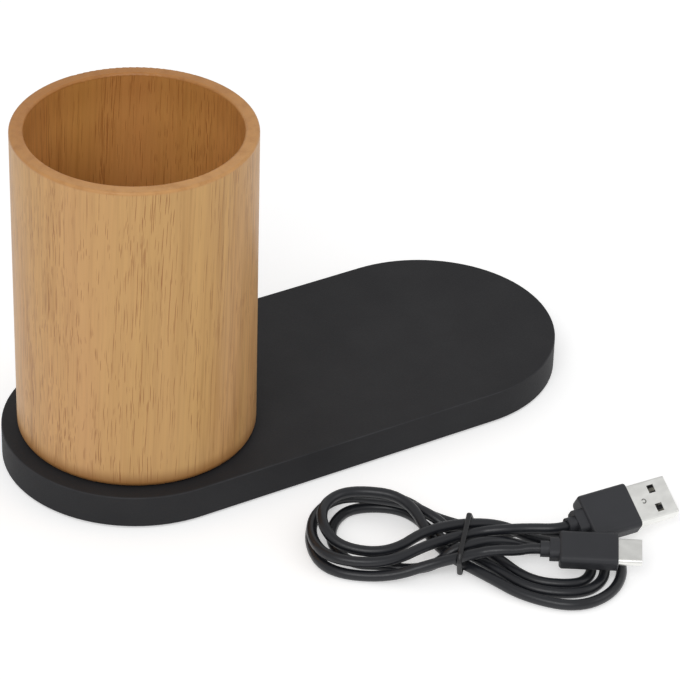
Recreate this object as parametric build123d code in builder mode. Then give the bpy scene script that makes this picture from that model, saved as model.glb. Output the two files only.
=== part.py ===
from build123d import *
from math import ceil, cos, dist, pi, radians, sin, sqrt
import os

os.makedirs("parts", exist_ok=True)

# Millimetres, Z up. The origin is on the table, below the middle of the slab. The wooden cup stands at -X,
# the charging area is at +X, the front is -Y and the inlet is in the rear side, +Y. The loose cable lies
# in front.

# Driving sizes of the slab
slab_length = 179.0
slab_width = 79.3
slab_height = 9.9
foot_proud = 0.8
top_wall = 1.6
side_wall = 1.8
cover_wall = 1.6
edge_round = 0.5
fit_gap = 0.15
cut_over = 1.0

slab_bottom = foot_proud
slab_top = slab_bottom + slab_height
end_x = (slab_length - slab_width) / 2
cavity_floor = slab_bottom + cover_wall
cavity_ceiling = slab_top - top_wall

# Driving sizes of the cup
cup_diameter = 70.0
cup_height = 98.5
cup_wall = 4.1
cup_floor = 10.0
cup_foot_round = 2.2
cup_rim_round = 0.7
cup_inner_round = 5.0
cup_x = -end_x

# Screws
cover_screw_diameter = 2.6
cover_screw_head = 4.6
cover_screw_head_height = 1.0
cover_screw_length = 6.0
cup_screw_diameter = 4.0
cup_screw_head = 8.0
cup_screw_head_height = 2.4
cup_screw_grip = 8.5
cup_screw_circle_radius = 20.0
cup_screw_count = 3
cup_screw_start_angle = 180
board_screw_diameter = 2.2
board_screw_head = 4.0
board_screw_head_height = 1.3
board_screw_length = 4.6
screw_gap = 0.1

# Rubber feet and the bosses above them
foot_diameter = 12.0
foot_recess = 0.6
foot_from_end_middle = 14.2
foot_from_side = 12.6
foot_x = end_x + foot_from_end_middle
foot_y = slab_width / 2 - foot_from_side
foot_places = [(side * foot_x, depth * foot_y) for side in (-1, 1) for depth in (-1, 1)]
foot_height = foot_proud + foot_recess
foot_edge = 0.3
boss_diameter = 6.4
ledge_width = 1.0

# Charging area
coil_outer_radius = 21.8
coil_inner_radius = 10.0
coil_turns = 8
wire_width = 1.0
coil_height = 1.1
ferrite_margin = 2.2
ferrite_height = 1.0
ferrite_slot_width = 2.4
foam_diameter = 40.0
lead_diameter = 0.8
lead_gap = 0.05
pad_inset = 0.8
outer_pad_inset = 8.8

# Driver board
board_coil_gap = 1.8
board_width = 30.0
board_length = 37.0
board_height = 1.2
board_edge_gap = 0.4
board_screw_inset = 3.4
board_screw_spacing = 26.0
board_boss_diameter = 5.0
board_lift = 1.5

ferrite_diameter = 2 * (coil_outer_radius + ferrite_margin)
board_x = end_x - ferrite_diameter / 2 - board_coil_gap - board_width / 2
board_bottom = cavity_floor + board_lift
board_top = board_bottom + board_height
board_rear = slab_width / 2 - side_wall - board_edge_gap
board_front = board_rear - board_length
board_middle = (board_rear + board_front) / 2
board_screw_spread = board_width - 2 * board_screw_inset
board_screw_y = board_front + board_screw_inset + board_screw_spacing / 2

# Inlet
socket_width = 8.94
socket_height = 3.2
socket_length = 7.3
socket_wall = 0.3
socket_recess = 0.6
window_gap = 0.35
tongue_width = 6.7
tongue_height = 0.7
tongue_inset = 0.6
tongue_base = 1.6

# Cable
cord_diameter = 3.1
cord_sides = 8
strand_gap = 0.55
table_gap = 0.05
strand_step = cord_diameter + strand_gap
hank_x = 6.8
hank_y = -91.2
hank_turn = -28.7

tie_width = 1.6
tie_wall = 0.7
tie_tilt = -12.0

# Plug with the flat wide shell
a_grip_width = 14.0
a_grip_height = 6.6
a_grip_length = 15.4
a_collar_width = 7.4
a_collar_height = 5.0
a_collar_length = 3.0
a_sleeve_diameter = 4.7
a_sleeve_length = 2.6
a_shell_width = 12.0
a_shell_height = 4.5
a_shell_reach = 12.6
a_shell_wall = 0.3
a_shell_round = 0.6
a_window_width = 2.5
a_window_length = 2.1
a_window_spread = 6.0
a_window_inset = 5.2
a_tongue_height = 1.9
a_tongue_inset = 0.9
a_contact_width = 1.0
a_contact_height = 0.15
a_contact_step = 2.3
a_contact_inset = 1.4
a_roll = 30.0

# Plug with the small oval shell
c_grip_width = 10.4
c_grip_height = 5.6
c_grip_length = 16.6
c_collar_width = 6.4
c_collar_height = 4.8
c_collar_length = 2.6
c_sleeve_diameter = 4.6
c_sleeve_length = 2.6
c_shell_width = 8.3
c_shell_height = 2.5
c_shell_reach = 6.7
c_shell_wall = 0.3
c_slot_width = 6.8
c_slot_height = 0.8
c_slot_depth = 4.6
c_roll = 22.0

grip_round = 1.0
grip_corner = 1.6
collar_round = 0.5
shell_pocket = 2.4
shell_gap = 0.1


def finish(piece, name):
    """Label a finished piece and write it to its own file."""
    piece.part.label = name
    export_step(piece.part, f"parts/{name}.step")


# Wooden cup: one turned profile, half of its section, with pilot holes for the screws from below
with BuildPart() as wooden_cup:
    with BuildSketch(Plane.XZ):
        with BuildLine():
            outer_radius = cup_diameter / 2
            inner_radius = outer_radius - cup_wall
            FilletPolyline(
                (0, slab_top + cup_floor),
                (inner_radius, slab_top + cup_floor),
                (inner_radius, slab_top + cup_height),
                radius=cup_inner_round,
            )
            Polyline(
                (inner_radius, slab_top + cup_height),
                (outer_radius, slab_top + cup_height),
                (outer_radius, slab_top),
                (0, slab_top),
                (0, slab_top + cup_floor),
            )
        make_face()
    revolve(axis=Axis.Z)
    outer_edges = wooden_cup.edges().filter_by(GeomType.CIRCLE)
    fillet(outer_edges.group_by(Axis.Z)[0], radius=cup_foot_round)
    rim_edges = wooden_cup.edges().filter_by(GeomType.CIRCLE).group_by(Axis.Z)[-1]
    fillet(rim_edges, radius=cup_rim_round)
    with BuildSketch(Plane.XY.offset(slab_top)):
        with PolarLocations(cup_screw_circle_radius, cup_screw_count, cup_screw_start_angle):
            Circle(cup_screw_diameter / 2 + screw_gap)
    extrude(amount=cup_screw_grip + screw_gap, mode=Mode.SUBTRACT)
wooden_cup.part = wooden_cup.part.moved(Location((cup_x, 0, 0)))
finish(wooden_cup, "wooden_cup")

# Top housing: a shell that is open below, with a ledge for the cover, bosses and the inlet's window
inlet_height = board_top + socket_height / 2
with BuildPart() as top_housing:
    with BuildSketch(Plane.XY.offset(slab_bottom)):
        SlotOverall(slab_length, slab_width)
    extrude(amount=slab_height)
    fillet(top_housing.edges().group_by(Axis.Z)[-1], radius=edge_round)
    with BuildSketch(Plane.XY.offset(slab_bottom)):
        SlotOverall(slab_length - 2 * side_wall, slab_width - 2 * side_wall)
    extrude(amount=cover_wall, mode=Mode.SUBTRACT)
    with BuildSketch(Plane.XY.offset(cavity_floor)):
        ledge_wall = side_wall + ledge_width
        SlotOverall(slab_length - 2 * ledge_wall, slab_width - 2 * ledge_wall)
        # The ledge makes way for the board and its inlet at the rear
        with Locations((board_x, board_middle)):
            Rectangle(board_width + 2 * board_edge_gap, board_length + 2 * board_edge_gap)
    extrude(amount=cavity_ceiling - cavity_floor, mode=Mode.SUBTRACT)
    with BuildSketch(Plane.XY.offset(cavity_floor)):
        with Locations(*foot_places):
            Circle(boss_diameter / 2)
            Circle(cover_screw_diameter / 2 + screw_gap, mode=Mode.SUBTRACT)
    extrude(amount=cavity_ceiling - cavity_floor)
    with BuildSketch(Plane.XY.offset(board_top)):
        with Locations((board_x, board_screw_y)):
            with GridLocations(board_screw_spread, board_screw_spacing, 2, 2):
                Circle(board_boss_diameter / 2)
                Circle(board_screw_diameter / 2 + screw_gap, mode=Mode.SUBTRACT)
    extrude(amount=cavity_ceiling - board_top)
    with BuildSketch(Plane.XY.offset(cavity_ceiling)):
        with Locations((cup_x, 0)):
            with PolarLocations(cup_screw_circle_radius, cup_screw_count, cup_screw_start_angle):
                Circle(cup_screw_diameter / 2 + screw_gap)
    extrude(amount=top_wall, mode=Mode.SUBTRACT)
    with BuildSketch(Plane.XZ.offset(-slab_width / 2 - cut_over)):
        with Locations((board_x, inlet_height)):
            SlotOverall(socket_width + 2 * window_gap, socket_height + 2 * window_gap)
    extrude(amount=side_wall + 2 * cut_over, mode=Mode.SUBTRACT)
finish(top_housing, "top_housing")

# Bottom cover: a plate inside the side wall, with a recess for each foot and a screw hole in it
with BuildPart() as bottom_cover:
    cover_inset = side_wall + fit_gap
    with BuildSketch(Plane.XY.offset(slab_bottom)):
        SlotOverall(slab_length - 2 * cover_inset, slab_width - 2 * cover_inset)
    extrude(amount=cover_wall)
    with BuildSketch(Plane.XY.offset(slab_bottom)):
        with Locations(*foot_places):
            Circle(foot_diameter / 2 + fit_gap)
    extrude(amount=foot_recess, mode=Mode.SUBTRACT)
    recess_floor = Plane(origin=(0, 0, slab_bottom + foot_recess), x_dir=(1, 0, 0), z_dir=(0, 0, -1))
    with Locations(recess_floor):
        with Locations(*foot_places):
            CounterSinkHole(
                cover_screw_diameter / 2 + screw_gap,
                cover_screw_head / 2 + screw_gap,
                depth=cover_wall,
                counter_sink_angle=90,
            )
finish(bottom_cover, "bottom_cover")

# Rubber feet: plain pads with a bevelled lower edge
with BuildPart() as rubber_feet:
    with BuildSketch(Plane.XY):
        with Locations(*foot_places):
            Circle(foot_diameter / 2)
    extrude(amount=foot_height)
    chamfer(rubber_feet.edges().group_by(Axis.Z)[0], length=foot_edge)
finish(rubber_feet, "rubber_feet")


def screw_section(shank, head, head_height, length, cone):
    """Half section of a screw that stands head down at zero: a countersunk or a flat head, and a shank."""
    seat = [] if cone else [(head, head_height)]
    return [
        (0, 0),
        (head, 0),
        *seat,
        (shank, head_height),
        (shank, head_height + length),
        (0, head_height + length),
    ]


# Cover screws: countersunk, hidden by the feet
with BuildPart() as cover_screws:
    with BuildSketch(Plane.XZ):
        with BuildLine():
            Polyline(
                *screw_section(
                    cover_screw_diameter / 2,
                    cover_screw_head / 2,
                    cover_screw_head_height,
                    cover_screw_length,
                    True,
                ),
                close=True,
            )
        make_face()
    revolve(axis=Axis.Z)
one_cover_screw = cover_screws.part
with BuildPart() as cover_screws:
    with Locations(*[(x, y, slab_bottom + foot_recess) for x, y in foot_places]):
        add(one_cover_screw)
finish(cover_screws, "cover_screws")

# Cup screws: from inside the housing, through its top wall, into the cup's floor
with BuildPart() as cup_screws:
    with BuildSketch(Plane.XZ):
        with BuildLine():
            Polyline(
                *screw_section(
                    cup_screw_diameter / 2,
                    cup_screw_head / 2,
                    cup_screw_head_height,
                    top_wall + cup_screw_grip,
                    False,
                ),
                close=True,
            )
        make_face()
    revolve(axis=Axis.Z)
one_cup_screw = cup_screws.part
with BuildPart() as cup_screws:
    with Locations((cup_x, 0, cavity_ceiling - cup_screw_head_height)):
        with PolarLocations(cup_screw_circle_radius, cup_screw_count, cup_screw_start_angle):
            add(one_cup_screw)
finish(cup_screws, "cup_screws")

# Transmit coil: one flat wire in a spiral of half turns, which grow by half a step each
coil_step = (coil_outer_radius - coil_inner_radius) / coil_turns
coil_middle = cavity_ceiling - coil_height / 2
with BuildPart() as transmit_coil:
    with BuildLine(Plane.XY.offset(coil_middle)) as coil_path:
        for half in range(2 * coil_turns):
            side = 1 if half % 2 == 0 else -1
            radius = coil_inner_radius + half * coil_step / 2
            shift = 0 if half % 2 == 0 else -coil_step / 2
            CenterArc((end_x + shift, 0), radius, 0 if side > 0 else 180, 180)
    coil_start = coil_path.wire() @ 0
    with BuildSketch(Plane(origin=coil_start, x_dir=(1, 0, 0), z_dir=coil_path.wire() % 0)):
        Rectangle(wire_width, coil_height)
    sweep(path=coil_path.wire())
finish(transmit_coil, "transmit_coil")

# Ferrite shield: a disc behind the coil, with a slot for the inner end of the wire
ferrite_bottom = cavity_ceiling - coil_height - ferrite_height
with BuildPart() as ferrite_shield:
    with BuildSketch(Plane.XY.offset(ferrite_bottom)):
        with Locations((end_x, 0)):
            Circle(ferrite_diameter / 2)
        with Locations((end_x - coil_inner_radius - ferrite_diameter / 2, 0)):
            Rectangle(ferrite_diameter + 2 * wire_width, ferrite_slot_width, mode=Mode.SUBTRACT)
    extrude(amount=ferrite_height)
finish(ferrite_shield, "ferrite_shield")

# Foam pad: presses ferrite and coil against the top wall
with BuildPart() as foam_pad:
    with BuildSketch(Plane.XY.offset(cavity_floor)):
        with Locations((end_x, 0)):
            Circle(foam_diameter / 2)
    extrude(amount=ferrite_bottom - cavity_floor)
finish(foam_pad, "foam_pad")

# Circuit board, with clearance holes for its screws
with BuildPart() as circuit_board:
    with BuildSketch(Plane.XY.offset(board_bottom)):
        with Locations((board_x, board_middle)):
            Rectangle(board_width, board_length)
        with Locations((board_x, board_screw_y)):
            with GridLocations(board_screw_spread, board_screw_spacing, 2, 2):
                Circle(board_screw_diameter / 2 + screw_gap, mode=Mode.SUBTRACT)
    extrude(amount=board_height)
finish(circuit_board, "circuit_board")

# Board screws: flat heads below the board, shanks in the bosses above it
with BuildPart() as board_screws:
    with BuildSketch(Plane.XZ):
        with BuildLine():
            Polyline(
                *screw_section(
                    board_screw_diameter / 2,
                    board_screw_head / 2,
                    board_screw_head_height,
                    board_screw_length,
                    False,
                ),
                close=True,
            )
        make_face()
    revolve(axis=Axis.Z)
one_board_screw = board_screws.part
with BuildPart() as board_screws:
    with Locations((board_x, board_screw_y, board_bottom - board_screw_head_height)):
        with GridLocations(board_screw_spread, board_screw_spacing, 2, 2):
            add(one_board_screw)
finish(board_screws, "board_screws")

# Parts on the board
package_edge = 0.2
chip_size = 6.0
chip_height = 0.9
transistor_width = 5.0
transistor_length = 6.0
transistor_height = 1.2
transistor_step = 8.0
resonant_width = 3.2
resonant_length = 2.6
resonant_height = 2.4
resonant_step = 4.4
input_diameter = 5.0
input_height = 3.2
input_edge = 0.4
input_step = 6.4
chip_x_share = 0.0
chip_y_share = 0.02
transistor_y_share = -0.28
resonant_x_share = 0.33
resonant_y_share = 0.02
input_x_share = -0.31
input_y_share = 0.02


def on_board(x_share, y_share):
    """A place on the upper face of the board, in shares of its width and length from its middle."""
    return (board_x + x_share * board_width, board_middle + y_share * board_length)


with BuildPart() as controller_chip:
    with BuildSketch(Plane.XY.offset(board_top)):
        with Locations(on_board(chip_x_share, chip_y_share)):
            Rectangle(chip_size, chip_size)
    extrude(amount=chip_height)
    chamfer(controller_chip.edges().group_by(Axis.Z)[-1], length=package_edge)
finish(controller_chip, "controller_chip")

with BuildPart() as bridge_transistors:
    with BuildSketch(Plane.XY.offset(board_top)):
        with Locations(on_board(0, transistor_y_share)):
            with GridLocations(transistor_step, transistor_step, 2, 2):
                Rectangle(transistor_width, transistor_length)
    extrude(amount=transistor_height)
    chamfer(bridge_transistors.edges().group_by(Axis.Z)[-1], length=package_edge)
finish(bridge_transistors, "bridge_transistors")

with BuildPart() as resonant_capacitors:
    with BuildSketch(Plane.XY.offset(board_top)):
        with Locations(on_board(resonant_x_share, resonant_y_share)):
            with GridLocations(resonant_step, resonant_step, 1, 3):
                Rectangle(resonant_width, resonant_length)
    extrude(amount=resonant_height)
finish(resonant_capacitors, "resonant_capacitors")

with BuildPart() as input_capacitors:
    with BuildSketch(Plane.XY.offset(board_top)):
        with Locations(on_board(input_x_share, input_y_share)):
            with GridLocations(input_step, input_step, 1, 2):
                Circle(input_diameter / 2)
    extrude(amount=input_height)
    chamfer(input_capacitors.edges().group_by(Axis.Z)[-1], length=input_edge)
finish(input_capacitors, "input_capacitors")

# Inlet: a drawn oval shell, open to the rear, with its tongue on a base that closes the front end
socket_mouth = slab_width / 2 - socket_recess
socket_plane = Plane(
    origin=(board_x, socket_mouth - socket_length, inlet_height), x_dir=(1, 0, 0), z_dir=(0, 1, 0)
)
with BuildPart() as usb_c_socket:
    with BuildSketch(socket_plane):
        SlotOverall(socket_width, socket_height)
        SlotOverall(socket_width - 2 * socket_wall, socket_height - 2 * socket_wall, mode=Mode.SUBTRACT)
    extrude(amount=socket_length)
finish(usb_c_socket, "usb_c_socket")

with BuildPart() as socket_tongue:
    with BuildSketch(socket_plane):
        inner_gap = 2 * (socket_wall + shell_gap)
        SlotOverall(socket_width - inner_gap, socket_height - inner_gap)
    extrude(amount=tongue_base)
    with BuildSketch(socket_plane.offset(tongue_base)):
        Rectangle(tongue_width, tongue_height)
    extrude(amount=socket_length - tongue_base - tongue_inset)
finish(socket_tongue, "socket_tongue")

# Coil leads: the inner end runs in the ferrite's slot, the outer end above it, both down to pads on the board
lead_radius = lead_diameter / 2
board_side = board_x + board_width / 2
lead_bend_x = end_x - ferrite_diameter / 2 - lead_diameter
lead_rest = board_top + lead_radius + lead_gap
inner_z = cavity_ceiling - coil_height - lead_radius - lead_gap
inner_start = (end_x - coil_inner_radius, 0, inner_z)
outer_start = (end_x - coil_outer_radius - wire_width / 2 - lead_gap, 0, coil_middle)
inner_pad = (board_side - pad_inset, board_front + pad_inset, lead_rest)
outer_pad = (board_side - pad_inset, board_front + outer_pad_inset, lead_rest)
with BuildPart() as coil_leads:
    for start, pad in ((inner_start, inner_pad), (outer_start, outer_pad)):
        bend = (lead_bend_x, start[1], start[2])
        with BuildLine() as lead_path:
            Line(start, bend)
            Line(bend, pad)
        with BuildSketch(Plane(origin=start, z_dir=(-1, 0, 0))):
            Circle(lead_radius)
        sweep(path=lead_path.wire(), transition=Transition.ROUND)
finish(coil_leads, "coil_leads")

# Hank: the route of the cord from plug to plug, in shares of one strand step, in the hank's own frame. The
# middle of the tie is its origin, along runs to the right and across to the rear. Rows are:
# place: along, across, height, heading in degrees
# over or under: one crossing at the tie, counted from the front, and the way it is walked
# turn: side, middle along, middle across, depth, half width, tilt in degrees, three heights, first run
hank_plane = Plane(
    origin=(hank_x, hank_y, cord_diameter / 2 + table_gap),
    x_dir=(cos(radians(hank_turn)), sin(radians(hank_turn)), 0),
    z_dir=(0, 0, 1),
)
over_across_shares = [-2.36, -1.24, 0.09, 1.32]
over_height_shares = [1.42, 1.55, 1.56, 1.77]
under_across_shares = [-2.06, -0.35, 1.36, 3.05]
under_height_share = 0.25
over_heading = 20
under_heading = -42
outer_heading = -22
lead_a_shares = (7.88, 0.48, 2.1)
lead_a_heading = 205
lead_c_shares = (5.62, -2.2, 1.95)
lead_c_heading = -4
route_shares = [
    ("place", 3.8, 0.37, 1.92, 184),
    ("over", 2, -1),
    ("turn", -1, 8.42, 1.59, 3.79, 4.17, 6, (1, 1, 1), "front"),
    ("place", -3.25, 3.94, 1.1, -38),
    ("under", 2, 1, under_heading),
    ("turn", 1, 7.71, -2.07, 1.95, 2.12, -8, (0, 0, 0), "front"),
    ("over", 1, -1),
    ("place", -3.4, -2.03, 0, 195),
    ("turn", -1, 7.28, 1.95, 3.01, 3.56, 9, (0, 0, 0), "front"),
    ("under", 1, 1, under_heading),
    ("turn", 1, 7.69, -2.11, 3.01, 3.18, -8, (0, 0, 0), "front"),
    ("over", 3, -1),
    ("turn", -1, 7.89, 2.05, 3.17, 3.19, 12, (1, 2, 2), "front"),
    ("under", 0, 1, under_heading),
    ("turn", 1, 7.78, -1.89, 4.04, 4.85, -8, (0, 0, 0), "front"),
    ("under", 3, -1, outer_heading),
    ("turn", -1, 7.97, 2.36, 3.91, 5.36, 10, (0, 0, 0), "rear"),
    ("over", 0, 1),
    ("place", 3.2, -2.22, 1.8, -1),
]


def heading_vector(heading):
    """Level unit vector in the hank's frame."""
    return Vector(cos(radians(heading)), sin(radians(heading)), 0)


def crossing(across_share, height_share, heading, way):
    """One point and its heading where a strand passes below the tie."""
    point = Vector(0, across_share, height_share) * strand_step
    return [(point, heading_vector(heading if way > 0 else heading + 180))]


def turn_points(side, along, across, depth, half_width, tilt, heights, first):
    """Start, tip and end of a turn, each with its heading."""
    outward = heading_vector(tilt if side > 0 else 180 - tilt)
    rearward = Vector(-outward.Y, outward.X, 0) * side
    middle = Vector(side * along, across, 0)
    front, rear = middle - rearward * half_width, middle + rearward * half_width
    tip = middle + outward * depth
    order = [front, tip, rear] if first == "front" else [rear, tip, front]
    spin = 1 if (first == "front") == (side > 0) else -1
    start_heading = tilt if side > 0 else 180 - tilt
    return [
        ((point + Vector(0, 0, height)) * strand_step, heading_vector(start_heading + quarter * spin * 90))
        for quarter, (point, height) in enumerate(zip(order, heights))
    ]


def route_points():
    """Every point of the route with its heading, without the straight ends at the plugs."""
    points = []
    for kind, *row in route_shares:
        if kind == "place":
            along, across, height, heading = row
            points.append((Vector(along, across, height) * strand_step, heading_vector(heading)))
        elif kind == "over":
            place, way = row
            points += crossing(over_across_shares[place], over_height_shares[place], over_heading, way)
        elif kind == "under":
            place, way, heading = row
            points += crossing(under_across_shares[place], under_height_share, heading, way)
        else:
            points += turn_points(*row)
    return points


straight_limit = 1e-9


def arc_joint(start, start_way, end, end_way):
    """Where two arcs meet that leave start along start_way and reach end along end_way."""
    run = end - start
    square = 2 * (start_way.dot(end_way) - 1)
    linear = -2 * run.dot(start_way + end_way)
    rest = run.dot(run)
    if abs(square) < straight_limit:
        reach = -rest / linear
    else:
        root = sqrt(linear * linear - 4 * square * rest)
        reach = min(r for r in ((-linear + root) / (2 * square), (-linear - root) / (2 * square)) if r > 0)
    return (start + end + (start_way - end_way) * reach) / 2


def place_in_world(point):
    return hank_plane.from_local_coords(point)


def way_in_world(way):
    return (place_in_world(way) - place_in_world(Vector(0, 0, 0))).normalized()


lead_a_end = Vector(*lead_a_shares) * strand_step
lead_a_way = heading_vector(lead_a_heading)
lead_c_end = Vector(*lead_c_shares) * strand_step
lead_c_way = heading_vector(lead_c_heading)
hank_points = [(lead_a_end + lead_a_way * cord_diameter, lead_a_way)]
hank_points += route_points()
hank_points += [(lead_c_end - lead_c_way * cord_diameter, lead_c_way)]
hank_points = [(place_in_world(point), way_in_world(way)) for point, way in hank_points]
cord_start = place_in_world(lead_a_end)
cord_end = place_in_world(lead_c_end)

with BuildPart() as cable_hank:
    with BuildLine() as cord_path:
        Line(cord_start, hank_points[0][0])
        bend_radii = []
        for (start, start_way), (end, end_way) in zip(hank_points, hank_points[1:]):
            middle = arc_joint(start, start_way, end, end_way)
            first_arc = TangentArc(start, middle, tangent=start_way)
            second_arc = TangentArc(middle, end, tangent=first_arc % 1)
            bend_radii += [first_arc.radius, second_arc.radius]
        Line(hank_points[-1][0], cord_end)
    with BuildSketch(Plane(origin=cord_start, z_dir=way_in_world(lead_a_way))):
        RegularPolygon(cord_diameter / 2, cord_sides)
    sweep(path=cord_path.wire())
finish(cable_hank, "cable_hank")


sample_count = 4
skipped_count = 4 * sample_count


def least_gap(wire, diameter):
    """Least distance between the surfaces of two strands, measured on a few points per diameter."""
    count = ceil(wire.length / diameter * sample_count)
    points = [tuple(wire.position_at(k / count)) for k in range(count + 1)]
    return min(
        dist(points[i], points[j]) for i in range(count + 1) for j in range(i + skipped_count, count + 1)
    ) - diameter


cord_wire = cord_path.wire()
cord_section = cord_sides / 2 * sin(2 * pi / cord_sides) * (cord_diameter / 2) ** 2
cord_volume = cord_section * cord_wire.length
print(f"cord length {cord_wire.length:.1f}, least radius {min(bend_radii):.1f}")
print(f"cord least gap to itself {least_gap(cord_wire, cord_diameter):.2f}")
print(f"cord volume {cable_hank.part.volume:.0f}, section times length {cord_volume:.0f}")

# Tie: a band round the waist of the hank, in an upright plane across it
tie_plane = Plane(
    origin=(hank_x, hank_y, 0),
    x_dir=(-sin(radians(hank_turn + tie_tilt)), cos(radians(hank_turn + tie_tilt)), 0),
    z_dir=(cos(radians(hank_turn + tie_tilt)), sin(radians(hank_turn + tie_tilt)), 0),
)
tie_corner_shares = [(-2.5, 0.22), (3.4, 0.22), (3.4, 1.05), (1.75, 2.72), (-2.85, 2.38), (-3.26, 1.95)]
tie_round_share = 0.3
with BuildPart() as cable_tie:
    with BuildSketch(tie_plane) as tie_section:
        with BuildLine():
            Polyline(*[(a * strand_step, b * strand_step) for a, b in tie_corner_shares], close=True)
        make_face()
        fillet(tie_section.vertices(), radius=tie_round_share * strand_step)
        offset(amount=tie_wall, mode=Mode.ADD)
        with BuildLine():
            Polyline(*[(a * strand_step, b * strand_step) for a, b in tie_corner_shares], close=True)
        make_face(mode=Mode.SUBTRACT)
    extrude(amount=tie_width / 2, both=True)
finish(cable_tie, "cable_tie")


def plug_plane(end, way, roll):
    """Plane at the cord's end that looks along the plug, rolled about it so that its rear edge is raised."""
    outward = Vector(way.X, way.Y, 0).normalized()
    rearward = Vector(-outward.Y, outward.X, 0)
    across = rearward * cos(radians(roll)) + Vector(0, 0, 1) * sin(radians(roll))
    return Plane(origin=end, x_dir=across, z_dir=outward)


plug_a_plane = plug_plane(cord_start, way_in_world(lead_a_way) * -1, a_roll)
plug_c_plane = plug_plane(cord_end, way_in_world(lead_c_way), c_roll)
a_face = a_sleeve_length + a_collar_length + a_grip_length
c_face = c_sleeve_length + c_collar_length + c_grip_length

with BuildPart() as usb_a_plug_body:
    with BuildSketch(plug_a_plane.offset(a_sleeve_length + a_collar_length)):
        RectangleRounded(a_grip_width, a_grip_height, grip_corner)
    extrude(amount=a_grip_length)
    plug_a_axis = Axis(plug_a_plane.origin, plug_a_plane.z_dir)
    fillet(usb_a_plug_body.faces().sort_by(plug_a_axis)[0].edges(), grip_round)
    fillet(usb_a_plug_body.faces().sort_by(plug_a_axis)[-1].edges(), collar_round)
    with BuildSketch(plug_a_plane.offset(a_sleeve_length)):
        RectangleRounded(a_collar_width, a_collar_height, grip_corner)
    extrude(amount=a_collar_length + grip_round)
    with BuildSketch(plug_a_plane):
        Circle(a_sleeve_diameter / 2)
    extrude(amount=a_sleeve_length)
    with BuildSketch(plug_a_plane.offset(a_face)):
        RectangleRounded(a_shell_width + 2 * shell_gap, a_shell_height + 2 * shell_gap, a_shell_round)
    extrude(amount=-shell_pocket, mode=Mode.SUBTRACT)
finish(usb_a_plug_body, "usb_a_plug_body")

with BuildPart() as usb_a_shell:
    a_shell_length = shell_pocket + a_shell_reach
    with BuildSketch(plug_a_plane.offset(a_face - shell_pocket)):
        RectangleRounded(a_shell_width, a_shell_height, a_shell_round)
        RectangleRounded(
            a_shell_width - 2 * a_shell_wall,
            a_shell_height - 2 * a_shell_wall,
            a_shell_round - a_shell_wall,
            mode=Mode.SUBTRACT,
        )
    extrude(amount=a_shell_length)
    window_plane = Plane(
        origin=plug_a_plane.offset(a_face + a_shell_reach - a_window_inset).origin,
        x_dir=plug_a_plane.x_dir,
        z_dir=plug_a_plane.y_dir,
    )
    with BuildSketch(window_plane):
        with GridLocations(a_window_spread, a_window_length, 2, 1):
            Rectangle(a_window_width, a_window_length)
    extrude(amount=a_shell_height, both=True, mode=Mode.SUBTRACT)
finish(usb_a_shell, "usb_a_shell")

a_tongue_drop = (a_shell_height - a_tongue_height) / 2 - a_shell_wall
with BuildPart() as usb_a_tongue:
    with BuildSketch(plug_a_plane.offset(a_face - shell_pocket)):
        with Locations((0, -a_tongue_drop)):
            Rectangle(a_shell_width - 2 * (a_shell_round + shell_gap), a_tongue_height)
    extrude(amount=shell_pocket + a_shell_reach - a_tongue_inset)
finish(usb_a_tongue, "usb_a_tongue")

a_contact_height_place = -a_tongue_drop + a_tongue_height / 2 + a_contact_height / 2
with BuildPart() as usb_a_contacts:
    with BuildSketch(plug_a_plane.offset(a_face)):
        with Locations((0, a_contact_height_place)):
            with GridLocations(a_contact_step, a_contact_height, 4, 1):
                Rectangle(a_contact_width, a_contact_height)
    extrude(amount=a_shell_reach - a_tongue_inset - a_contact_inset)
finish(usb_a_contacts, "usb_a_contacts")

with BuildPart() as usb_c_plug_body:
    with BuildSketch(plug_c_plane.offset(c_sleeve_length + c_collar_length)):
        RectangleRounded(c_grip_width, c_grip_height, grip_corner)
    extrude(amount=c_grip_length)
    plug_c_axis = Axis(plug_c_plane.origin, plug_c_plane.z_dir)
    fillet(usb_c_plug_body.faces().sort_by(plug_c_axis)[0].edges(), grip_round)
    fillet(usb_c_plug_body.faces().sort_by(plug_c_axis)[-1].edges(), collar_round)
    with BuildSketch(plug_c_plane.offset(c_sleeve_length)):
        RectangleRounded(c_collar_width, c_collar_height, grip_corner)
    extrude(amount=c_collar_length + grip_round)
    with BuildSketch(plug_c_plane):
        Circle(c_sleeve_diameter / 2)
    extrude(amount=c_sleeve_length)
    with BuildSketch(plug_c_plane.offset(c_face)):
        SlotOverall(c_shell_width + 2 * shell_gap, c_shell_height + 2 * shell_gap)
    extrude(amount=-shell_pocket, mode=Mode.SUBTRACT)
finish(usb_c_plug_body, "usb_c_plug_body")

with BuildPart() as usb_c_plug_shell:
    with BuildSketch(plug_c_plane.offset(c_face - shell_pocket)):
        SlotOverall(c_shell_width, c_shell_height)
        SlotOverall(c_shell_width - 2 * c_shell_wall, c_shell_height - 2 * c_shell_wall, mode=Mode.SUBTRACT)
    extrude(amount=shell_pocket + c_shell_reach)
finish(usb_c_plug_shell, "usb_c_plug_shell")

with BuildPart() as usb_c_plug_insert:
    c_inner = 2 * (c_shell_wall + shell_gap)
    with BuildSketch(plug_c_plane.offset(c_face - shell_pocket)):
        SlotOverall(c_shell_width - c_inner, c_shell_height - c_inner)
    extrude(amount=shell_pocket + c_shell_reach - shell_gap)
    with BuildSketch(plug_c_plane.offset(c_face + c_shell_reach)):
        SlotOverall(c_slot_width, c_slot_height)
    extrude(amount=-c_slot_depth, mode=Mode.SUBTRACT)
finish(usb_c_plug_insert, "usb_c_plug_insert")
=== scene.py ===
from math import cos, pi, radians, sin

import bmesh
import bpy
from mathutils import Matrix, Vector


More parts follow.
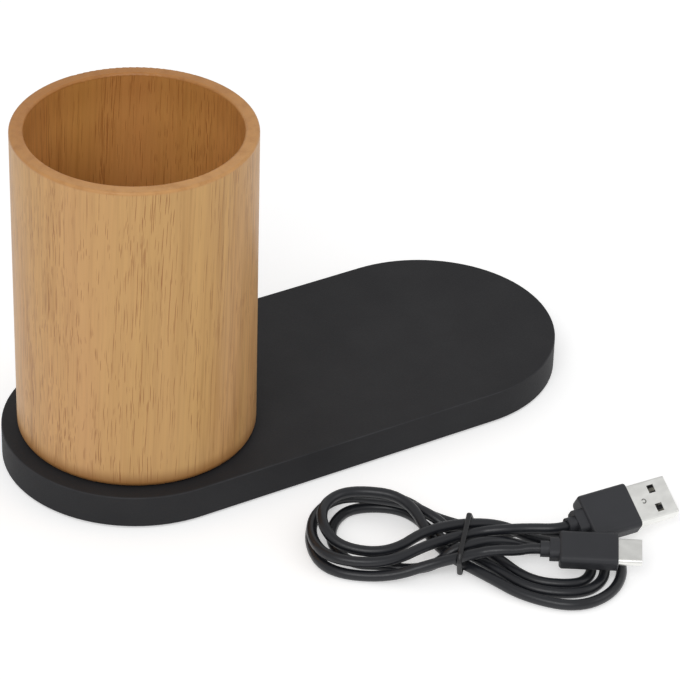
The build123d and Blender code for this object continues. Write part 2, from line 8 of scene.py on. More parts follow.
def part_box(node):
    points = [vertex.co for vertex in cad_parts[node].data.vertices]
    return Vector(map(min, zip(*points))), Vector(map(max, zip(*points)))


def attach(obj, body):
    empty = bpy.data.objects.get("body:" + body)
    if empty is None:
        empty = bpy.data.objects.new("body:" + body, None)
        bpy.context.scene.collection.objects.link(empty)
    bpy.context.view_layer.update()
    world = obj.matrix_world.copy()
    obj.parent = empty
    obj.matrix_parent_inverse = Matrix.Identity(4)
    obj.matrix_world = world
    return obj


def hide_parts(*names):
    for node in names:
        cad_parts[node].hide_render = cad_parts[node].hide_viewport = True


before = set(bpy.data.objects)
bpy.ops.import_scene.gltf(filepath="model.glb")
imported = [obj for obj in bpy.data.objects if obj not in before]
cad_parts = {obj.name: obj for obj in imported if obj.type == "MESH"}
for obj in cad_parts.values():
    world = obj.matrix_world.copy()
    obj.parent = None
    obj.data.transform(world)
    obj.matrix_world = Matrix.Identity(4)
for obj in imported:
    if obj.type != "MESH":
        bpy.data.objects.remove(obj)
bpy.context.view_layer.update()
scene = bpy.context.scene
scene.view_settings.view_transform = "Standard"

MM = 0.001


def add_object(name, data):
    made = bpy.data.objects.new(name, data)
    scene.collection.objects.link(made)
    return made


# Camera: the photograph's viewpoint, worked out from its angles around a target on the slab
IMAGE_PX = 680
FOCAL_PX = 3524.4
SENSOR_MM = 36.0
AZIMUTH = radians(-31.598)
ELEVATION = radians(33.695)
ROLL = radians(1.724)
DISTANCE = 1089.2 * MM
TARGET = Vector((31.47, 19.77, 0.8)) * MM
NEAREST_SEEN = 0.01
FARTHEST_SEEN = 20


def make_camera():
    back = Vector((sin(AZIMUTH) * cos(ELEVATION), -cos(AZIMUTH) * cos(ELEVATION), sin(ELEVATION)))
    level = Vector((cos(AZIMUTH), sin(AZIMUTH), 0))
    upward = back.cross(level)
    right = level * cos(ROLL) + upward * sin(ROLL)
    up = upward * cos(ROLL) - level * sin(ROLL)
    data = bpy.data.cameras.new("camera")
    data.sensor_fit = "HORIZONTAL"
    data.sensor_width = SENSOR_MM
    data.lens = FOCAL_PX * SENSOR_MM / IMAGE_PX
    data.clip_start = NEAREST_SEEN
    data.clip_end = FARTHEST_SEEN
    camera = add_object("camera", data)
    turn = Matrix((right, up, back)).transposed().to_4x4()
    camera.matrix_world = Matrix.Translation(TARGET + back * DISTANCE) @ turn
    scene.camera = camera


# Cord: the CAD hank's route from plug to plug, with a few turns moved to follow the photograph. Sizes are in
# mm and headings in degrees; places along the route are in strand steps, in the hank's own frame.
CORD_DIAMETER = 3.1
STRAND_STEP = CORD_DIAMETER + 0.55
TABLE_GAP = 0.05
HANK_PLACE = (6.8, -91.2)
HANK_TURN = radians(-28.7)
OVER_ACROSS = [-2.36, -1.24, 0.09, 1.22]
OVER_HEIGHT = [1.42, 1.55, 1.56, 1.77]
UNDER_ACROSS = [-2.06, -0.35, 1.36, 3.05]
UNDER_HEIGHT = 0.25
OVER_HEADING = 20
TOP_HEADING = 7
UNDER_HEADING = -42
OUTER_HEADING = -22
LEAD_A = (7.88, 0.48, 2.1)
LEAD_A_HEADING = 205
LEAD_C = (5.62, -2.2, 1.95)
LEAD_C_HEADING = -4
# Rows, with 1 or -1 for a side and for the way in which a strand is walked:
# place - along, across, height, heading
# over, under - strand's place at the tie, way, heading
# turn - side, middle along, middle across, depth, half width, tilt, three heights, side that comes first
ROUTE = [
    ("place", 3.8, 0.37, 1.92, 184),
    ("over", 2, -1, OVER_HEADING),
    ("turn", -1, 8.42, 1.59, 3.45, 4.17, 6, (1, 1, 1), "front"),
    ("place", -3.25, 3.94, 1.1, -38),
    ("under", 2, 1, UNDER_HEADING),
    ("turn", 1, 7.71, -2.07, 1.95, 2.12, -8, (0, 0, 0), "front"),
    ("over", 1, -1, OVER_HEADING),
    ("place", -3.4, -2.03, 0, 195),
    ("turn", -1, 7.3, 2.1, 3.0, 3.72, 3, (0, 0, 0), "front"),
    ("under", 1, 1, UNDER_HEADING),
    ("turn", 1, 7.69, -2.11, 3.01, 3.18, -8, (0, 0, 0), "front"),
    ("over", 3, -1, TOP_HEADING),
    ("turn", -1, 7.89, 2.05, 3.17, 3.19, 12, (1, 2, 2), "front"),
    ("under", 0, 1, UNDER_HEADING),
    ("turn", 1, 7.95, -2.3, 4.0, 4.45, -20, (0, 0, 0), "front"),
    ("under", 3, -1, OUTER_HEADING),
    ("turn", -1, 7.97, 2.36, 3.91, 5.36, 10, (0, 0, 0), "rear"),
    ("over", 0, 1, OVER_HEADING),
    ("place", 3.2, -2.22, 1.8, -1),
]
# Reach of a point's two handles, as a share of the distance to the point before or after it
HANDLE_SHARE = 0.3


def heading_vector(degrees):
    return Vector((cos(radians(degrees)), sin(radians(degrees)), 0))


def turn_points(side, along, across, depth, half_width, tilt, heights, first):
    """Start, tip and end of a turn, each with its heading."""
    start_heading = tilt if side > 0 else 180 - tilt
    outward = heading_vector(start_heading)
    rearward = Vector((-outward.y, outward.x, 0)) * side
    middle = Vector((side * along, across, 0))
    order = [middle - rearward * half_width, middle + outward * depth, middle + rearward * half_width]
    if first == "rear":
        order.reverse()
    spin = 1 if (first == "front") == (side > 0) else -1
    return [
        (point + Vector((0, 0, height)), heading_vector(start_heading + quarter * spin * 90))
        for quarter, (point, height) in enumerate(zip(order, heights))
    ]


def route_points():
    """Every point of the route with its heading, in strand steps."""
    points = []
    for kind, *row in ROUTE:
        if kind == "place":
            points.append((Vector(row[:3]), heading_vector(row[3])))
        elif kind == "turn":
            points += turn_points(*row)
        else:
            strand, way, heading = row
            across = OVER_ACROSS[strand] if kind == "over" else UNDER_ACROSS[strand]
            height = OVER_HEIGHT[strand] if kind == "over" else UNDER_HEIGHT
            points.append((Vector((0, across, height)), heading_vector(heading) * way))
    return points


def in_world(point):
    """A point of the hank's frame, in strand steps, as a place in the scene."""
    along, across, height = (c * STRAND_STEP for c in point)
    c, s = cos(HANK_TURN), sin(HANK_TURN)
    x = HANK_PLACE[0] + along * c - across * s
    y = HANK_PLACE[1] + along * s + across * c
    return Vector((x, y, CORD_DIAMETER / 2 + TABLE_GAP + height)) * MM


def cord_controls():
    """Control points of the cord's spline: the straight ends, and two handles at each point of the route."""
    end_step = CORD_DIAMETER / STRAND_STEP
    way_a, way_c = heading_vector(LEAD_A_HEADING), heading_vector(LEAD_C_HEADING)
    start, end = Vector(LEAD_A), Vector(LEAD_C)
    keys = [(start, way_a), *route_points(), (end, way_c)]
    controls = [start, start + way_a * end_step]
    for (before, _), (point, way), (after, _) in zip(keys, keys[1:], keys[2:]):
        controls.append(point - way * HANDLE_SHARE * (point - before).length)
        controls.append(point + way * HANDLE_SHARE * (after - point).length)
    controls += [end - way_c * end_step, end]
    return [in_world(point) for point in controls]


def make_cord(material):
    curve = bpy.data.curves.new("charging_cord", "CURVE")
    curve.dimensions = "3D"
    curve.bevel_depth = CORD_DIAMETER / 2 * MM
    curve.bevel_resolution = 6
    curve.use_fill_caps = True
    controls = cord_controls()
    spline = curve.splines.new("NURBS")
    spline.points.add(len(controls) - 1)
    for target, place in zip(spline.points, controls):
        target.co = (*place, 1)
    spline.order_u = 3
    spline.use_endpoint_u = True
    spline.resolution_u = 8
    curve.materials.append(material)
    return add_object("charging_cord", curve)


def skin_object(name, rings, closed, material):
    """Smooth skin over rings of points, with a cap at each end unless the last ring joins the first."""
    mesh = bmesh.new()
    rings = [[mesh.verts.new(point) for point in ring] for ring in rings]
    for ring, following in zip(rings, rings[1:] + (rings[:1] if closed else [])):
        for k in range(len(ring)):
            mesh.faces.new((ring[k - 1], ring[k], following[k], following[k - 1]))
    if not closed:
        mesh.faces.new(rings[0])
        mesh.faces.new(rings[-1])
    bmesh.ops.recalc_face_normals(mesh, faces=mesh.faces)
    for face in mesh.faces:
        face.smooth = True
    data = bpy.data.meshes.new(name)
    mesh.to_mesh(data)
    mesh.free()
    data.materials.append(material)
    return add_object(name, data)


# Tie: a smooth band round the waist of the hank, in an upright plane across it. Its corners are across and
# height in strand steps, its width and thickness are in mm.
TIE_TURN = HANK_TURN + radians(-12)
TIE_CORNERS = [(-2.5, 0.22), (3.4, 0.22), (3.4, 1.05), (1.75, 2.72), (-2.85, 2.38), (-3.26, 1.95)]
TIE_ROUND = 0.3 * STRAND_STEP
TIE_WIDTH = 1.5
TIE_THICKNESS = 0.75


def rounded_loop(corners, radius, outset, steps=6):
    """Points of a closed outline with round corners, moved outwards, each with its outward direction."""
    points = []
    for before, corner, after in zip(corners[-1:] + corners[:-1], corners, corners[1:] + corners[:1]):
        run_in, run_out = (corner - before).normalized(), (after - corner).normalized()
        out_in, out_out = Vector((run_in.y, -run_in.x)), Vector((run_out.y, -run_out.x))
        middle = corner - (out_in + out_out) * radius / (1 + out_in.dot(out_out))
        for step in range(steps + 1):
            outward = out_in.lerp(out_out, step / steps).normalized()
            points.append((middle + outward * (radius + outset), outward))
    return points


def make_tie(material, sides=14):
    across = Vector((-sin(TIE_TURN), cos(TIE_TURN), 0))
    along = Vector((cos(TIE_TURN), sin(TIE_TURN), 0))
    up = Vector((0, 0, 1))
    corners = [Vector(corner) * STRAND_STEP for corner in TIE_CORNERS]
    rings = []
    for point, outward in rounded_loop(corners, TIE_ROUND, TIE_THICKNESS / 2):
        middle = Vector((*HANK_PLACE, 0)) + across * point.x + up * point.y
        normal = across * outward.x + up * outward.y
        ring = []
        for side in range(sides):
            angle = 2 * pi * side / sides
            offset = normal * cos(angle) * TIE_THICKNESS / 2 + along * sin(angle) * TIE_WIDTH / 2
            ring.append((middle + offset) * MM)
        rings.append(ring)
    return skin_object("tie_band", rings, True, material)


# Seam lock: the small horseshoe that is pressed into the top of the flat shell; sizes are in mm
PLUG_A_SLEEVE = 2.6
PLUG_A_COLLAR = 3.0
PLUG_A_GRIP = 15.4
PLUG_A_ROLL = radians(30)
SHELL_A_HEIGHT = 4.5
LOCK_FROM_GRIP = 3.6
LOCK_RADIUS = 0.62
LOCK_BAR = 0.17
LOCK_FLATNESS = 0.6
LOCK_ARC = radians(290)


def make_seam_lock(material, steps=28, sides=10):
    turn = radians(LEAD_A_HEADING + 180) + HANK_TURN
    outward = Vector((cos(turn), sin(turn), 0))
    rearward = Vector((-sin(turn), cos(turn), 0))
    across = rearward * cos(PLUG_A_ROLL) + Vector((0, 0, 1)) * sin(PLUG_A_ROLL)
    normal = outward.cross(across)
    from_lead = PLUG_A_SLEEVE + PLUG_A_COLLAR + PLUG_A_GRIP + LOCK_FROM_GRIP
    middle = in_world(LEAD_A) + (outward * from_lead + normal * SHELL_A_HEIGHT / 2) * MM
    rings = []
    for step in range(steps + 1):
        angle = LOCK_ARC * (step / steps - 0.5)
        spoke = outward * cos(angle) + across * sin(angle)
        ring = []
        for side in range(sides):
            around = 2 * pi * side / sides
            reach = LOCK_RADIUS + LOCK_BAR * cos(around)
            rise = LOCK_BAR * LOCK_FLATNESS * sin(around)
            ring.append(middle + (spoke * reach + normal * rise) * MM)
        rings.append(ring)
    return skin_object("shell_seam_lock", rings, False, material)


# Materials: nodes only, with linear colours; a noise's scale is in waves per metre
def new_material(name):
    material = bpy.data.materials.new(name)
    material.use_nodes = True
    tree = material.node_tree
    shader = tree.nodes["Principled BSDF"]
    return material, tree, shader


def add_node(tree, kind, inputs=(), **settings):
    """A node with its settings, and with its inputs set to values or linked to other nodes' outputs."""
    made = tree.nodes.new(kind)
    for key, value in settings.items():
        setattr(made, key, value)
    for key, value in dict(inputs).items():
        if isinstance(value, bpy.types.NodeSocket):
            tree.links.new(value, made.inputs[key])
        else:
            made.inputs[key].default_value = value
    return made


def colour_ramp(tree, factor, stops):
    ramp = add_node(tree, "ShaderNodeValToRGB", {"Fac": factor})
    elements = ramp.color_ramp.elements
    while len(elements) < len(stops):
        elements.new(0.5)
    for element, (place, colour) in zip(elements, stops):
        element.position = place
        element.color = (*colour, 1)
    return ramp.outputs["Color"]


def mixed(tree, factor, first, second, blend="MIX"):
    mix = add_node(tree, "ShaderNodeMix", data_type="RGBA", blend_type=blend)
    for socket, value in zip((mix.inputs[0], mix.inputs[6], mix.inputs[7]), (factor, first, second)):
        if isinstance(value, bpy.types.NodeSocket):
            tree.links.new(value, socket)
        else:
            socket.default_value = value if isinstance(value, float) else (*value, 1)
    return mix.outputs[2]


def tinted(tree, colour, tint):
    return mixed(tree, 1.0, colour, tint, "MULTIPLY")


def noise(tree, coordinates, scale, detail=2.0, roughness=0.5, output="Fac"):
    made = add_node(
        tree,
        "ShaderNodeTexNoise",
        {"Vector": coordinates, "Scale": scale, "Detail": detail, "Roughness": roughness},
    )
    return made.outputs[output]


def map_range(tree, value, lowest, highest, to_lowest=0.0, to_highest=1.0, smooth=False):
    made = add_node(
        tree,
        "ShaderNodeMapRange",
        {"Value": value, "From Min": lowest, "From Max": highest, "To Min": to_lowest, "To Max": to_highest},
        interpolation_type="SMOOTHSTEP" if smooth else "LINEAR",
    )
    return made.outputs["Result"]


def maths(tree, operation, first, second=0.0):
    return add_node(tree, "ShaderNodeMath", {0: first, 1: second}, operation=operation).outputs["Value"]


def object_coordinates(tree, scale=(1, 1, 1)):
    place = add_node(tree, "ShaderNodeTexCoord").outputs["Object"]
    return add_node(tree, "ShaderNodeMapping", {"Vector": place, "Scale": scale}).outputs["Vector"]


def bump(tree, shader, height, strength, distance):
    inputs = {"Height": height, "Strength": strength, "Distance": distance}
    tree.links.new(add_node(tree, "ShaderNodeBump", inputs).outputs["Normal"], shader.inputs["Normal"])


# Ends of the span in which nearly all of a noise lies
NOISE_LOW, NOISE_HIGH = 0.3, 0.7
# Plastics and rubbers: dark and light colour, roughness, specular level, grain scale, depth of the bump in mm
PLASTICS = {
    "housing_plastic": ((0.0205, 0.0205, 0.0225), (0.0255, 0.0255, 0.0275), 0.65, 0.20, 2400, 0.12),
    "cord_jacket": ((0.009, 0.0098, 0.0128), (0.0132, 0.0143, 0.018), 0.34, 0.46, 1500, 0.03),
    "tie_rubber": ((0.008, 0.008, 0.0095), (0.012, 0.012, 0.0135), 0.35, 0.42, 1500, 0.03),
    "plug_plastic": ((0.025, 0.026, 0.030), (0.031, 0.032, 0.037), 0.5, 0.38, 2200, 0.06),
    "foot_rubber": ((0.02, 0.02, 0.02), (0.03, 0.03, 0.03), 0.7, 0.3, 1800, 0.08),
    "insert_plastic": ((0.02, 0.02, 0.022), (0.03, 0.03, 0.033), 0.5, 0.4, 1500, 0.05),
    "board_laminate": ((0.01, 0.07, 0.03), (0.015, 0.10, 0.045), 0.4, 0.5, 900, 0.04),
}
CLOUD_SCALE = 60
PLASTIC_GLOSS_SHIFT = 0.05
PLASTIC_BUMP = 0.35
# Metals: dark and light colour, roughness
METALS = {
    "shell_steel": ((0.84, 0.84, 0.81), (0.92, 0.92, 0.89), 0.34),
    "coil_copper": ((0.60, 0.26, 0.12), (0.75, 0.36, 0.18), 0.35),
    "contact_gold": ((0.75, 0.52, 0.2), (0.85, 0.62, 0.28), 0.25),
    "contact_plating": ((0.40, 0.39, 0.35), (0.52, 0.50, 0.45), 0.3),
    "seam_steel": ((0.17, 0.17, 0.16), (0.26, 0.26, 0.25), 0.45),
}
STREAKS = (300, 300, 900)
METAL_GLOSS_SHIFT = 0.06
# Painted highlight along the slab's upper rounded edge: how far down it reaches, shares of that between which
# it fades in from below and out towards the top, how much lighter it is, and the spots that break it up
EDGE_HIGHLIGHT_WIDTH = 0.5 * MM
EDGE_HIGHLIGHT_FADE_IN = (1.0, 0.5)
EDGE_HIGHLIGHT_FADE_OUT = (0.02, 0.2)
EDGE_HIGHLIGHT_GAIN = (1.7, 1.7, 1.7)
EDGE_HIGHLIGHT_SPOT_SCALE = 90
EDGE_HIGHLIGHT_SPOT_SPAN = (0.35, 0.6)
LEAST_EDGE_HIGHLIGHT = 0.35


def set_gloss(tree, shader, pattern, roughness, shift):
    """Roughness that follows a pattern a little to both sides of its middle value."""
    shifting = map_range(tree, pattern, NOISE_LOW, NOISE_HIGH, roughness - shift, roughness + shift)
    tree.links.new(shifting, shader.inputs["Roughness"])


def plastic_material(name, dark, light, roughness, specular, grain_scale, bump_depth):
    """Moulded plastic or rubber: a fine grain that shifts colour and gloss a little, and a fine bump."""
    material, tree, shader = new_material(name)
    place = object_coordinates(tree)
    cloud = noise(tree, place, CLOUD_SCALE, detail=3)
    grain = noise(tree, place, grain_scale, detail=3, roughness=0.6)
    colour = colour_ramp(tree, cloud, [(NOISE_LOW, dark), (NOISE_HIGH, light)])
    tree.links.new(colour, shader.inputs["Base Color"])
    set_gloss(tree, shader, grain, roughness, PLASTIC_GLOSS_SHIFT)
    shader.inputs["Specular IOR Level"].default_value = specular
    bump(tree, shader, grain, PLASTIC_BUMP, bump_depth * MM)
    return material


def paint_edge_highlight(material, top):
    """Painted highlight: lighten the rounded edge below a level top, broken up by spots."""
    tree = material.node_tree
    base = tree.nodes["Principled BSDF"].inputs["Base Color"]
    height = add_node(tree, "ShaderNodeSeparateXYZ", {"Vector": object_coordinates(tree)}).outputs["Z"]
    below = map_range(tree, height, *(top - share * EDGE_HIGHLIGHT_WIDTH for share in EDGE_HIGHLIGHT_FADE_IN), smooth=True)
    above = map_range(tree, height, *(top - share * EDGE_HIGHLIGHT_WIDTH for share in EDGE_HIGHLIGHT_FADE_OUT), smooth=True)
    spots = noise(tree, object_coordinates(tree), EDGE_HIGHLIGHT_SPOT_SCALE, detail=3)
    highlight_strength = map_range(tree, spots, *EDGE_HIGHLIGHT_SPOT_SPAN, to_lowest=LEAST_EDGE_HIGHLIGHT)
    highlight_mask = maths(tree, "MULTIPLY", maths(tree, "MULTIPLY", below, above), highlight_strength)
    plain = base.links[0].from_socket
    tree.links.new(mixed(tree, highlight_mask, plain, tinted(tree, plain, EDGE_HIGHLIGHT_GAIN)), base)


def metal_material(name, dark, light, roughness):
    """Brushed metal: fine streaks that shift colour and gloss a little."""
    material, tree, shader = new_material(name)
    streak = noise(tree, object_coordinates(tree, STREAKS), 1.0, detail=3)
    colour = colour_ramp(tree, streak, [(NOISE_LOW, dark), (NOISE_HIGH, light)])
    tree.links.new(colour, shader.inputs["Base Color"])
    set_gloss(tree, shader, streak, roughness, METAL_GLOSS_SHIFT)
    shader.inputs["Metallic"].default_value = 1
    return material


# Wood: where in the block the cup was turned, how the grain leans, and the direction across the growth rings
BLOCK_PLACE = (0.083, 0.023, 0)
GRAIN_LEAN = radians(-2.5)
RING_ANGLE = radians(-32)
# Noises along the grain: share that lengths along it count for, scale, detail, roughness
BROAD_NOISE = (0.07, 42, 2, 0.5)
SLIM_NOISE = (0.03, 330, 3, 0.65)
FIBRE_NOISE = (0.02, 1100, 2, 0.6)
PATCH_NOISE = (0.12, 110, 2, 0.5)
BREAK_NOISE = (0.3, 700, 2, 0.5)
WANDER_NOISE = (0.5, 70, 2, 0.5)
# Ramps: place on the noise, and the colour or tint there
BROAD_TONES = [(0.36, (0.643, 0.358, 0.149)), (0.5, (0.628, 0.360, 0.141)), (0.64, (0.614, 0.358, 0.132))]
SLIM_TINTS = [(0.30, (0.82, 0.75, 0.66)), (0.44, (0.965, 0.94, 0.91)), (0.7, (1.04, 1.04, 1.02))]
FIBRE_TINTS = [(0.3, (0.80, 0.75, 0.68)), (0.5, (0.98, 0.97, 0.96)), (0.7, (1.05, 1.05, 1.04))]
RIM_TINTS = [(0.32, (0.86, 0.80, 0.70)), (0.5, (1, 1, 1)), (0.7, (1.08, 1.08, 1.06))]
# Fine lines: shares of the cup's radius, across the rings, where they grow and are full, and their least
# strength
LINES_FROM = 0.35
LINES_FULL = 0.8
LEAST_LINES = 0.45
# Pores, in rows for long dashes, short dashes and vessel lines: cell width in mm, share that lengths along
# the grain count for, half widths of a dash in sparse and dense patches as shares of its cell, strength
PORES = [
    (0.47, 0.013, 0.17, 0.30, 1.0),
    (0.44, 0.030, 0.11, 0.26, 0.75),
    (0.7, 0.006, 0.15, 0.24, 0.85),
]
PORE_WANDER = (0.0016, 0.0016, 0)
PATCH_SPAN = (0.32, 0.66)
PORE_EDGE = (-0.01, 0.05)
BREAK_SPAN = (0.3, 0.55)
LEAST_BREAK = 0.4
PORE_STRENGTH = 0.80
PORE_COLOUR = (0.30, 0.108, 0.026)
# Inside of the cup: where the wall's middle lies, share of the plain wood in its pores, its painted shade,
# and more painted shade that sets in below the rim
WALL_MIDDLE = 2 * MM
WALL_BLEND = 0.2 * MM
INNER_PLAIN = 0.15
INNER_PAINTED_SHADE = (1.05, 0.935, 0.70)
UNDER_RIM_SHADE_DEPTHS = (15 * MM, 3 * MM)
UNDER_RIM_PAINTED_SHADE = (0.82, 0.76, 0.69)
# Rim and foot: depths and heights between which they set in, strengths and colours
RIM_DEPTHS = (1.2 * MM, 0.5 * MM)
RIM_STRENGTH = 0.9
RIM_NEAR_COLOUR = (0.585, 0.292, 0.098)
# The rim's far colour, across the span below, is painted shade: the rim darker towards the back
RIM_FAR_SHADE_COLOUR = (0.435, 0.176, 0.038)
RIM_FAR_SHADE_SPAN = (-0.4, 0.45)
RIM_SCALE = 210
# The foot's colour is painted shade: the wood darker towards its bottom, where it meets the slab
FOOT_SHADE_HEIGHTS = (6.5 * MM, 0.8 * MM)
FOOT_SHADE_STRENGTH = 0.85
FOOT_SHADE_COLOUR = (0.30, 0.122, 0.030)
# Surface: gloss, coat and relief
WOOD_ROUGHNESS = 0.45
WOOD_GLOSS_SHIFT = 0.05
WOOD_SPECULAR = 0.45
WOOD_COAT = 0.07
WOOD_COAT_ROUGHNESS = 0.28
FIBRE_RELIEF = 0.35
WOOD_BUMP = 0.25
WOOD_BUMP_DEPTH = 0.15 * MM


def grain_coordinates(tree, length_share, offset=(0, 0, 0)):
    """Places in the turned block, whose grain leans a little, with the lengths along the grain shrunk."""
    place = add_node(tree, "ShaderNodeTexCoord").outputs["Object"]
    lean = {"Vector": place, "Rotation": (0, GRAIN_LEAN, 0), "Location": offset}
    leaned = add_node(tree, "ShaderNodeMapping", lean).outputs["Vector"]
    shrink = {"Vector": leaned, "Scale": (1, 1, length_share)}
    return add_node(tree, "ShaderNodeMapping", shrink).outputs["Vector"]


def grain_noise(tree, kind, offset=(0, 0, 0), output="Fac"):
    length_share, scale, detail, roughness = kind
    return noise(tree, grain_coordinates(tree, length_share, offset), scale, detail, roughness, output)


def wood_pores(tree, cell_width, length_share, narrowest, widest, patches):
    """Mask of the wood's open pores: slim dashes along the grain, which come closer in some streaks."""
    wander = grain_noise(tree, WANDER_NOISE, output="Color")
    bend = add_node(tree, "ShaderNodeVectorMath", {0: wander, 1: PORE_WANDER}, operation="MULTIPLY")
    bent = {0: grain_coordinates(tree, length_share), 1: bend.outputs["Vector"]}
    place = add_node(tree, "ShaderNodeVectorMath", bent, operation="ADD").outputs["Vector"]
    cells = {"Vector": place, "Scale": 1 / cell_width, "Randomness": 1.0}
    distance = add_node(tree, "ShaderNodeTexVoronoi", cells).outputs["Distance"]
    limit = map_range(tree, patches, *PATCH_SPAN, narrowest, widest)
    return map_range(tree, maths(tree, "SUBTRACT", limit, distance), *PORE_EDGE)


def wood_material():
    """Turned hardwood: fine lines on two sides, slim brown pores all round, and a plainer, warmer rim, with
    painted shade inside, at the foot and on the rim's far side.
    """
    material, tree, shader = new_material("cup_wood")
    low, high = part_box("wooden_cup")
    cup_radius = (high[0] - low[0]) / 2
    place = add_node(tree, "ShaderNodeSeparateXYZ", {"Vector": object_coordinates(tree)}).outputs
    height = place["Z"]
    across = maths(tree, "SUBTRACT", place["X"], (low[0] + high[0]) / 2)
    rearward = maths(tree, "SUBTRACT", place["Y"], (low[1] + high[1]) / 2)
    squares = [maths(tree, "MULTIPLY", length, length) for length in (across, rearward)]
    radius = maths(tree, "SQRT", maths(tree, "ADD", *squares))
    ring_shares = [
        maths(tree, "MULTIPLY", across, cos(RING_ANGLE)),
        maths(tree, "MULTIPLY", rearward, sin(RING_ANGLE)),
    ]
    across_rings = maths(tree, "ABSOLUTE", maths(tree, "ADD", *ring_shares))
    lined = map_range(
        tree, across_rings, LINES_FROM * cup_radius, LINES_FULL * cup_radius, LEAST_LINES, smooth=True
    )

    # Tone and lines of the whole block
    broad = colour_ramp(tree, grain_noise(tree, BROAD_NOISE, BLOCK_PLACE), BROAD_TONES)
    slim = colour_ramp(tree, grain_noise(tree, SLIM_NOISE), SLIM_TINTS)
    fibre = grain_noise(tree, FIBRE_NOISE)
    lines = tinted(tree, slim, colour_ramp(tree, fibre, FIBRE_TINTS))
    body = tinted(tree, broad, mixed(tree, lined, (1, 1, 1), lines))

    # Pores
    patches = grain_noise(tree, PATCH_NOISE)
    pores = 0.0
    for cell_width, length_share, narrowest, widest, strength in PORES:
        dashes = wood_pores(tree, cell_width * MM, length_share, narrowest, widest, patches)
        pores = maths(tree, "MAXIMUM", pores, maths(tree, "MULTIPLY", dashes, strength))
    breaks = map_range(tree, grain_noise(tree, BREAK_NOISE), *BREAK_SPAN, to_lowest=LEAST_BREAK)
    pores = maths(tree, "MULTIPLY", pores, breaks)
    pored = mixed(tree, maths(tree, "MULTIPLY", pores, PORE_STRENGTH), body, PORE_COLOUR)

    # Inside, darkened by painted shade, with more painted shade towards the rim
    wall_middle = cup_radius - WALL_MIDDLE
    inside = map_range(tree, radius, wall_middle + WALL_BLEND, wall_middle - WALL_BLEND)
    shaded_inner = tinted(tree, mixed(tree, INNER_PLAIN, pored, body), INNER_PAINTED_SHADE)
    under_rim_shade = map_range(tree, height, *(high[2] - depth for depth in UNDER_RIM_SHADE_DEPTHS), smooth=True)
    shaded_inner = mixed(tree, under_rim_shade, shaded_inner, tinted(tree, shaded_inner, UNDER_RIM_PAINTED_SHADE))
    colour = mixed(tree, inside, pored, shaded_inner)

    # Rim, darker and redder on its far side by painted shade, and foot
    rim = map_range(tree, height, *(high[2] - depth for depth in RIM_DEPTHS), smooth=True)
    far_shade = map_range(tree, rearward, *(share * (high[1] - low[1]) for share in RIM_FAR_SHADE_SPAN))
    rim_grain = noise(tree, object_coordinates(tree), RIM_SCALE, detail=4, roughness=0.65)
    rim_colour = mixed(tree, far_shade, RIM_NEAR_COLOUR, RIM_FAR_SHADE_COLOUR)
    rim_colour = tinted(tree, rim_colour, colour_ramp(tree, rim_grain, RIM_TINTS))
    colour = mixed(tree, maths(tree, "MULTIPLY", rim, RIM_STRENGTH), colour, rim_colour)
    # Painted shade at the foot
    foot_shade = map_range(tree, height, *(low[2] + rise for rise in FOOT_SHADE_HEIGHTS), smooth=True)
    colour = mixed(tree, maths(tree, "MULTIPLY", foot_shade, FOOT_SHADE_STRENGTH), colour, FOOT_SHADE_COLOUR)

    tree.links.new(colour, shader.inputs["Base Color"])
    set_gloss(tree, shader, fibre, WOOD_ROUGHNESS, WOOD_GLOSS_SHIFT)
    shader.inputs["Specular IOR Level"].default_value = WOOD_SPECULAR
    shader.inputs["Coat Weight"].default_value = WOOD_COAT
    shader.inputs["Coat Roughness"].default_value = WOOD_COAT_ROUGHNESS
    relief = maths(tree, "SUBTRACT", maths(tree, "MULTIPLY", fibre, FIBRE_RELIEF), pores)
    bump(tree, shader, relief, WOOD_BUMP, WOOD_BUMP_DEPTH)
    return material


# Stage: a pale floor that the camera and reflections see as white, but for the object's shadow, and soft
# light
FLOOR_SIZE = 8
FLOOR_SHADE = (0.8, 0.8, 0.8, 1)
FLOOR_ROUGHNESS = 0.9
FLOOR_GLOW = 0.42
WORLD_LIGHT = 0.62
# Rows: name, place, aim, size, power; in metres and watts
LIGHTS = [
    ("key", (-0.9, -0.9, 1.2), (0, 0, 0.04), (0.9, 0.9), 8),
    ("fill", (1.0, -0.8, 0.9), (0, 0, 0.03), (0.9, 0.9), 2),
]


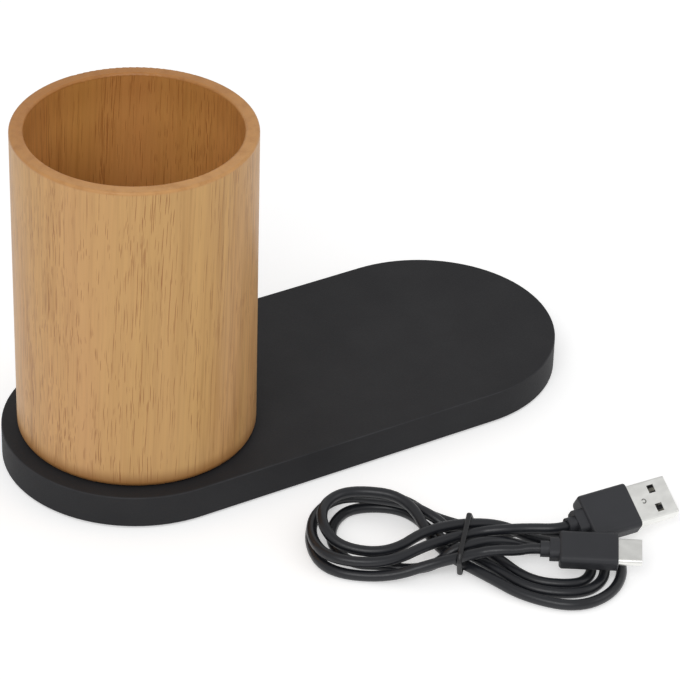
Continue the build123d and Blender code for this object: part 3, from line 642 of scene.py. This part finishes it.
def make_stage():
    material, tree, shader = new_material("floor_white")
    shader.inputs["Base Color"].default_value = FLOOR_SHADE
    shader.inputs["Roughness"].default_value = FLOOR_ROUGHNESS
    shader.inputs["Specular IOR Level"].default_value = 0
    rays = add_node(tree, "ShaderNodeLightPath").outputs
    seen = maths(tree, "MAXIMUM", rays["Is Camera Ray"], rays["Is Glossy Ray"])
    seen = maths(tree, "MAXIMUM", seen, rays["Is Transmission Ray"])
    glow = add_node(tree, "ShaderNodeEmission", {"Strength": maths(tree, "MULTIPLY", seen, FLOOR_GLOW)})
    both = add_node(tree, "ShaderNodeAddShader", {0: shader.outputs[0], 1: glow.outputs[0]})
    tree.links.new(both.outputs[0], tree.nodes["Material Output"].inputs["Surface"])
    bpy.ops.mesh.primitive_plane_add(size=FLOOR_SIZE, location=(0, 0, 0))
    floor = bpy.context.object
    floor.name = "floor"
    floor.data.materials.append(material)
    world = bpy.data.worlds.new("studio")
    scene.world = world
    world.use_nodes = True
    background = world.node_tree.nodes["Background"]
    background.inputs["Color"].default_value = (1, 1, 1, 1)
    background.inputs["Strength"].default_value = WORLD_LIGHT


def area_light(name, place, aim, size, power):
    data = bpy.data.lights.new(name, "AREA")
    data.shape = "RECTANGLE"
    data.size, data.size_y = size
    data.energy = power
    light = add_object(name, data)
    light.location = place
    light.rotation_euler = (Vector(aim) - Vector(place)).to_track_quat("-Z", "Y").to_euler()


make_camera()
materials = {name: plastic_material(name, *row) for name, row in PLASTICS.items()}
materials.update({name: metal_material(name, *row) for name, row in METALS.items()})
materials["cup_wood"] = wood_material()
# Painted highlight along the housing's upper edge
paint_edge_highlight(materials["housing_plastic"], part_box("top_housing")[1][2])

FINISHES = {
    "cup_wood": ["wooden_cup"],
    "housing_plastic": ["top_housing", "bottom_cover"],
    "foot_rubber": ["rubber_feet", "foam_pad"],
    "plug_plastic": ["usb_a_plug_body", "usb_c_plug_body"],
    "insert_plastic": [
        "ferrite_shield", "controller_chip", "bridge_transistors", "socket_tongue", "usb_a_tongue",
        "usb_c_plug_insert",
    ],
    "board_laminate": ["circuit_board"],
    "shell_steel": [
        "cover_screws", "cup_screws", "board_screws", "input_capacitors", "usb_c_socket", "usb_a_shell",
        "usb_c_plug_shell",
    ],
    "coil_copper": ["transmit_coil", "coil_leads"],
    "contact_gold": ["resonant_capacitors"],
    "contact_plating": ["usb_a_contacts"],
}
for finish, nodes in FINISHES.items():
    for node in nodes:
        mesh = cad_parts[node].data
        mesh.materials.clear()
        mesh.materials.append(materials[finish])

tie = make_tie(materials["tie_rubber"])
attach(tie, "cable")
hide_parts("cable_tie")

seam_lock = make_seam_lock(materials["seam_steel"])
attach(seam_lock, "cable")

cord = make_cord(materials["cord_jacket"])
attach(cord, "cable")
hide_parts("cable_hank")

make_stage()
for row in LIGHTS:
    area_light(*row)
